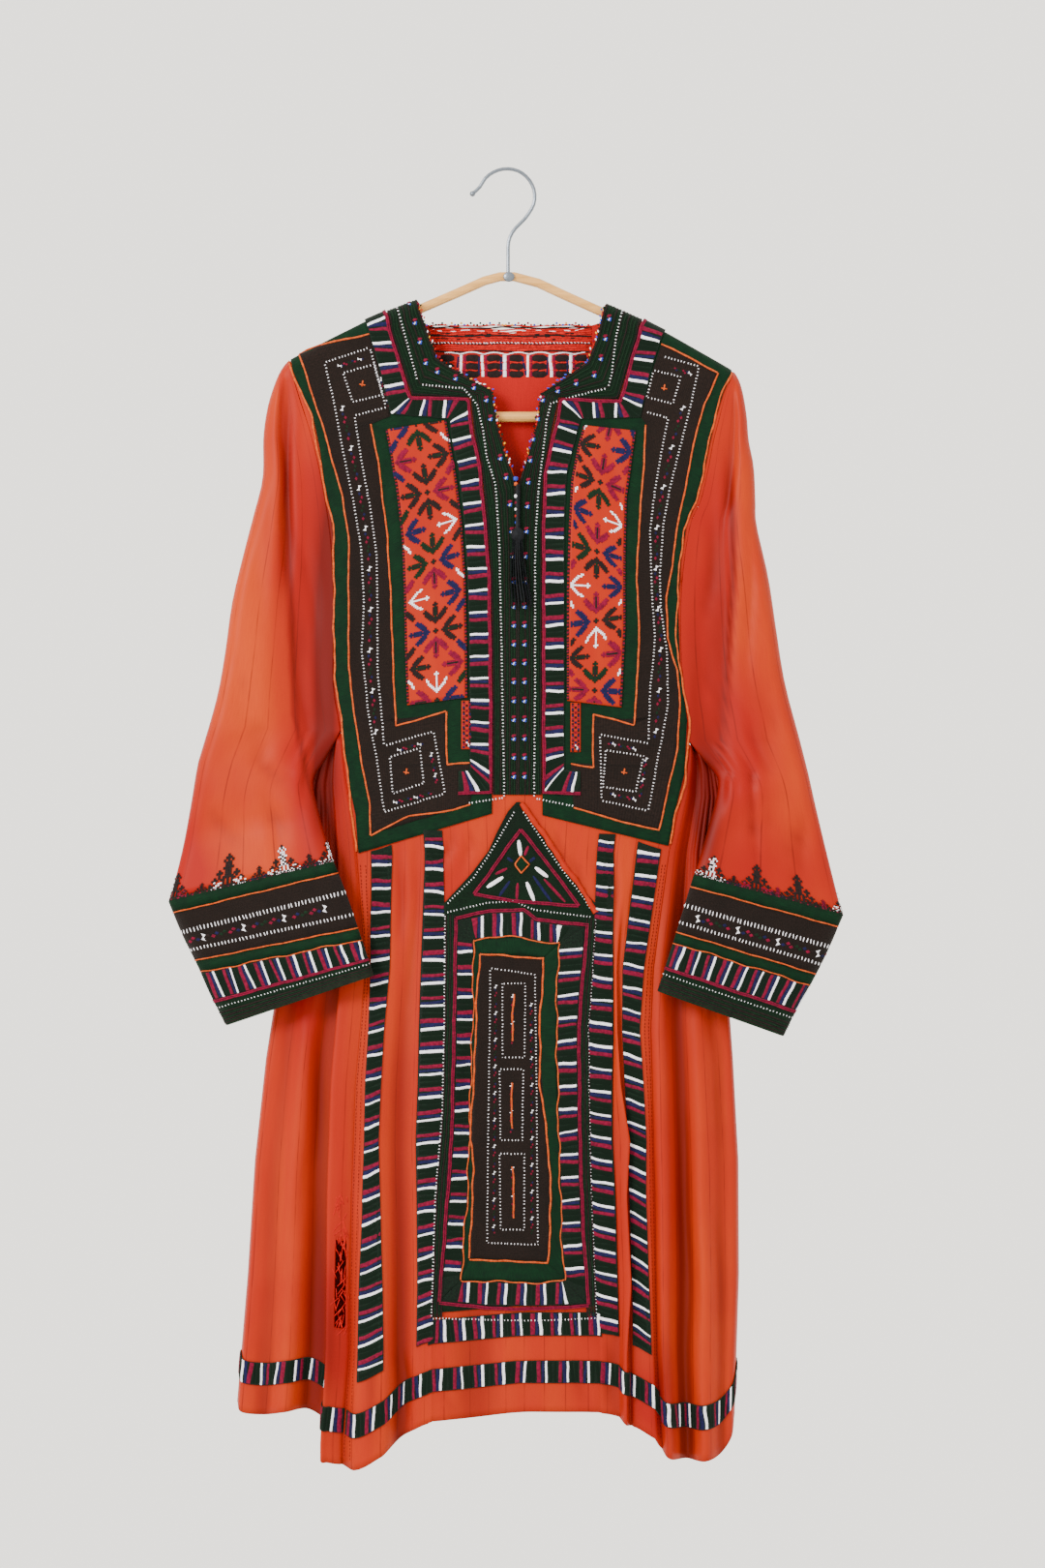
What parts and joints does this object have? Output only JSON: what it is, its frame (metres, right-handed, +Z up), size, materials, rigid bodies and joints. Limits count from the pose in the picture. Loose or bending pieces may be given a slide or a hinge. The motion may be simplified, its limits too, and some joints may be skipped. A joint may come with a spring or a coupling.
{
  "type": "balochi embroidered dress on a clothes hanger",
  "caption": "Long-sleeved silk dress with an embroidered chest panel, cuffs, long pocket and ribbons, hanging open and hollow on a wooden hanger with a wire hook.",
  "frame": {"origin": "inside top of the hanger's hook, where the nail or rail carries it", "axes": "+Z up, along the dress; the front faces -Y; +X to the right as the front is seen"},
  "size_m": [0.6103, 0.0777, 1.1784],
  "materials": {
    "silk": "soft sheen, shot orange and red silk with faint pinstripes",
    "embroidery": "dense dark green and brown satin stitch, matt",
    "ribbon": "black ground with white, magenta and navy bars",
    "counted_stitch": "orange silk with counted cross stitch",
    "tassel_thread": "black cotton thread",
    "wood": "satin pale beech",
    "steel": "bright drawn wire"
  },
  "bodies": {
    "root": {"front": "silk", "back": "silk", "side_left": "silk", "side_right": "silk", "sleeve_left": "silk", "sleeve_right": "silk", "cuff_left": "embroidery", "cuff_right": "embroidery", "yoke_left": "embroidery", "yoke_right": "embroidery", "neck_band": "embroidery", "back_neck_band": "embroidery", "pocket": "embroidery", "yoke_ribbon_left": "ribbon", "yoke_ribbon_right": "ribbon", "ribbon_left": "ribbon", "ribbon_right": "ribbon", "pocket_ribbon": "ribbon", "hem_ribbon_front": "ribbon", "hem_ribbon_left": "ribbon", "hem_ribbon_right": "ribbon", "hem_ribbon_back": "ribbon", "motif_left": "counted_stitch", "motif_right": "counted_stitch", "tassel": "tassel_thread", "hanger_arms": "wood", "hanger_bar": "wood", "hanger_hook": "steel", "hanger_nut": "steel"}
  },
  "joints": []
}
